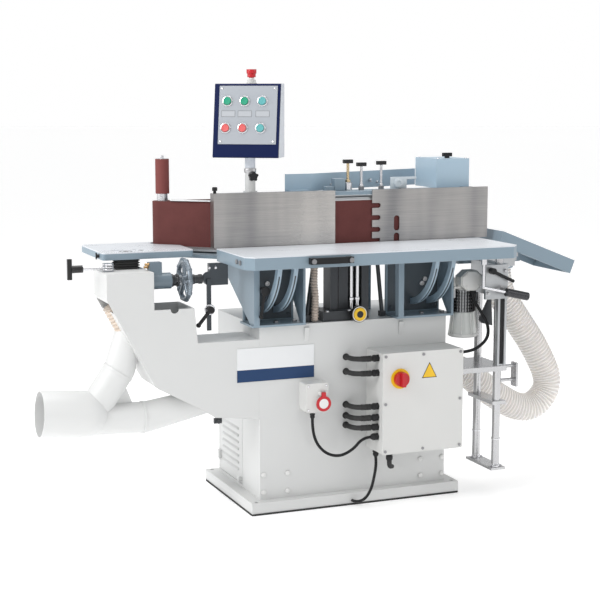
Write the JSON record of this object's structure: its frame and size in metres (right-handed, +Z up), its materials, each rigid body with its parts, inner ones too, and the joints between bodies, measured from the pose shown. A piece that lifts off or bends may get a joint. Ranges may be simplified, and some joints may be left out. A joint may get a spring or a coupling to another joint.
{
  "type": "oscillating edge belt sander",
  "caption": "Floor-standing oscillating edge belt sander with contour roller, small sanding spindle, side tables, control panel and dust ducts.",
  "frame": {"origin": "on the floor under the middle of the base, at the centre of the four anchor holes", "axes": "+X to the operator's right along the table, +Y to the back, +Z up"},
  "size_m": [1.9726, 0.671, 1.468],
  "materials": {
    "cabinet_paint": "light grey powder coat",
    "machine_paint": "grey-blue hammer paint",
    "white_duct": "off-white duct",
    "clear_hose": "translucent ribbed hose",
    "black_rubber": "matt",
    "black_plastic": "matt",
    "steel": "ground steel",
    "chrome": "polished",
    "aluminium": "brushed",
    "cast_top": "machined",
    "abrasive": "brown abrasive cloth",
    "dark_steel": "dark satin",
    "box_paint": "light grey enclosure paint",
    "navy": "navy blue",
    "red": "red",
    "green": "green",
    "teal": "teal",
    "yellow": "yellow",
    "cable": "black cable"
  },
  "bodies": {
    "machine": {"arc_rails": "machine_paint", "base_skid": "black_rubber", "bellows": "black_rubber", "cabinet_shell": "cabinet_paint", "cable_glands": "black_plastic", "control_cables": "cable", "dust_fittings": "white_duct", "dust_hose": "clear_hose", "electrical_box": "box_paint", "electrical_box_lid": "box_paint", "fasteners": "dark_steel", "fence_left": "aluminium", "fence_right": "aluminium", "floor_cable": "cable", "gear_motor": "box_paint", "guards": "machine_paint", "inlet_box": "box_paint", "left_gearbox": "machine_paint", "lift_column": "dark_steel", "main_table": "cast_top", "motor_cable": "cable", "panel_post": "box_paint", "plates": "yellow", "spindle_arm": "cabinet_paint", "stand_columns": "chrome", "supply_cable": "cable", "table_handle": "black_plastic", "table_housings": "machine_paint", "unit_frame": "machine_paint"},
    "carriage": {"belt_carriage": "steel", "sanding_belt": "abrasive"},
    "drive": {"drive_roller": "steel"},
    "idler": {"front_idler": "steel"},
    "contour": {"contour_roller": "abrasive"},
    "left_table": {"left_end_table": "cast_top"},
    "wheel": {"handwheel": "box_paint"},
    "left_lock": {"left_lock_knob": "black_plastic"},
    "left_clamp": {"left_clamp_lever": "black_plastic"},
    "housing_clamp": {"housing_clamp_lever": "black_plastic"},
    "stand_head": {"stand_slide": "steel"},
    "stand_clamp": {"stand_clamp_lever": "black_plastic"},
    "right_table": {"right_end_table": "machine_paint"},
    "lock": {"lock_handle": "chrome"},
    "door": {"side_door": "cabinet_paint"},
    "switch": {"main_switch_knob": "red"},
    "flap": {"inlet_flap": "red"},
    "index": {"index_knob": "yellow"},
    "panel": {"panel_housing": "navy"},
    "post_star": {"post_knob": "black_plastic"},
    "stop": {"estop_button": "red"},
    "knob1": {"top_knob_1": "black_plastic"},
    "knob2": {"top_knob_2": "black_plastic"},
    "knob3": {"top_knob_3": "black_plastic"},
    "knob4": {"top_knob_4": "black_plastic"},
    "button_green_left": {"button_green_left": "green"},
    "button_green_right": {"button_green_right": "green"},
    "button_teal_top": {"button_teal_top": "teal"},
    "button_red_left": {"button_red_left": "red"},
    "button_red_right": {"button_red_right": "red"},
    "button_teal_low": {"button_teal_low": "teal"}
  },
  "joints": [
    {"name": "belt_oscillation", "type": "slide", "parent": "machine", "child": "carriage", "axis": [0, 0, 1], "range_m": [0, 0.006]},
    {"name": "drive_spin", "type": "hinge", "parent": "carriage", "child": "drive", "pos_m": [0.44, -0.0152, 0.95], "axis": [0, 0, 1], "continuous": true},
    {"name": "idler_spin", "type": "hinge", "parent": "carriage", "child": "idler", "pos_m": [-0.345, -0.0602, 0.95], "axis": [0, 0, 1], "continuous": true},
    {"name": "contour_spin", "type": "hinge", "parent": "carriage", "child": "contour", "pos_m": [-0.565, 0.14, 0.95], "axis": [0, 0, 1], "continuous": true},
    {"name": "left_table_lift", "type": "slide", "parent": "machine", "child": "left_table", "axis": [0, 0, 1], "range_m": [0, 0.04], "deforming": ["bellows"]},
    {"name": "handwheel_turn", "type": "hinge", "parent": "machine", "child": "wheel", "pos_m": [-0.582, -0.15, 0.79], "axis": [1, 0, 0], "range_deg": [0, 2880]},
    {"name": "left_lock_turn", "type": "hinge", "parent": "machine", "child": "left_lock", "pos_m": [-0.92, -0.13, 0.838], "axis": [1, 0, 0], "range_deg": [-180, 180]},
    {"name": "left_clamp_turn", "type": "hinge", "parent": "machine", "child": "left_clamp", "pos_m": [-0.503, -0.16, 0.69], "axis": [0, 1, 0], "range_deg": [-65, 0]},
    {"name": "housing_clamp_turn", "type": "hinge", "parent": "machine", "child": "housing_clamp", "pos_m": [-0.338, -0.2, 0.752], "axis": [0, 1, 0], "range_deg": [-8, 10]},
    {"name": "stand_lift", "type": "slide", "parent": "machine", "child": "stand_head", "axis": [0, 0, 1], "range_m": [0, 0.025]},
    {"name": "stand_clamp_turn", "type": "hinge", "parent": "stand_head", "child": "stand_clamp", "pos_m": [0.45, -0.34, 0.792], "axis": [0, 1, 0], "range_deg": [-30, 20]},
    {"name": "right_table_tilt", "type": "hinge", "parent": "stand_head", "child": "right_table", "pos_m": [0.655, -0.025, 0.846], "axis": [0, 1, 0], "range_deg": [-21.4, 15]},
    {"name": "lock_handle_swing", "type": "hinge", "parent": "machine", "child": "lock", "pos_m": [0.4, -0.372, 0.78], "axis": [0, 0, 1], "range_deg": [-90, 0]},
    {"name": "door_swing", "type": "hinge", "parent": "machine", "child": "door", "pos_m": [-0.3513, 0.194, 0.17], "axis": [0, 0, 1], "range_deg": [-110, 0]},
    {"name": "switch_turn", "type": "hinge", "parent": "machine", "child": "switch", "pos_m": [0.107, -0.35, 0.446], "axis": [0, 1, 0], "range_deg": [0, 90]},
    {"name": "inlet_flap_open", "type": "hinge", "parent": "machine", "child": "flap", "pos_m": [-0.146, -0.278, 0.404], "axis": [1, 0, 0], "range_deg": [-100, 0], "stiffness_Nm_per_rad": 0.02, "springref_deg": 17.19},
    {"name": "index_knob_turn", "type": "hinge", "parent": "machine", "child": "index", "pos_m": [0.007, -0.2, 0.654], "axis": [0, 1, 0], "range_deg": [-180, 180]},
    {"name": "panel_swivel", "type": "hinge", "parent": "machine", "child": "panel", "pos_m": [-0.314, -0.045, 1.2], "axis": [0, 0, 1], "range_deg": [-60, 60]},
    {"name": "post_star_turn", "type": "hinge", "parent": "machine", "child": "post_star", "pos_m": [-0.314, -0.07, 1.115], "axis": [0, 1, 0], "range_deg": [-180, 180]},
    {"name": "stop_press", "type": "slide", "parent": "panel", "child": "stop", "axis": [0, 0, -1], "range_m": [0, 0.006], "stiffness_N_per_m": 800, "springref_m": -0.002},
    {"name": "button_green_left_press", "type": "slide", "parent": "panel", "child": "button_green_left", "axis": [0.5355, 0.8246, -0.1821], "range_m": [0, 0.003], "stiffness_N_per_m": 400, "springref_m": -0.001},
    {"name": "button_green_right_press", "type": "slide", "parent": "panel", "child": "button_green_right", "axis": [0.5355, 0.8246, -0.1821], "range_m": [0, 0.003], "stiffness_N_per_m": 400, "springref_m": -0.001},
    {"name": "button_teal_top_press", "type": "slide", "parent": "panel", "child": "button_teal_top", "axis": [0.5355, 0.8246, -0.1821], "range_m": [0, 0.003], "stiffness_N_per_m": 400, "springref_m": -0.001},
    {"name": "button_red_left_press", "type": "slide", "parent": "panel", "child": "button_red_left", "axis": [0.5355, 0.8246, -0.1821], "range_m": [0, 0.003], "stiffness_N_per_m": 400, "springref_m": -0.001},
    {"name": "button_red_right_press", "type": "slide", "parent": "panel", "child": "button_red_right", "axis": [0.5355, 0.8246, -0.1821], "range_m": [0, 0.003], "stiffness_N_per_m": 400, "springref_m": -0.001},
    {"name": "button_teal_low_press", "type": "slide", "parent": "panel", "child": "button_teal_low", "axis": [0.5355, 0.8246, -0.1821], "range_m": [0, 0.003], "stiffness_N_per_m": 400, "springref_m": -0.001},
    {"name": "top_knob_1_turn", "type": "hinge", "parent": "machine", "child": "knob1", "pos_m": [0.05, -0.032, 1.12], "axis": [0, 0, 1], "range_deg": [-180, 180]},
    {"name": "top_knob_2_turn", "type": "hinge", "parent": "machine", "child": "knob2", "pos_m": [0.101, -0.032, 1.12], "axis": [0, 0, 1], "range_deg": [-180, 180]},
    {"name": "top_knob_3_turn", "type": "hinge", "parent": "machine", "child": "knob3", "pos_m": [0.177, -0.032, 1.12], "axis": [0, 0, 1], "range_deg": [-180, 180]},
    {"name": "top_knob_4_turn", "type": "hinge", "parent": "machine", "child": "knob4", "pos_m": [0.452, 0, 1.17], "axis": [0, 0, 1], "range_deg": [-180, 180]}
  ],
  "couplings": [
    {"joint": "idler_spin", "follows": "drive_spin", "ratio": 2.5},
    {"joint": "contour_spin", "follows": "drive_spin", "ratio": 2.2727},
    {"joint": "handwheel_turn", "follows": "left_table_lift", "rad_per_m": 1256.6}
  ]
}
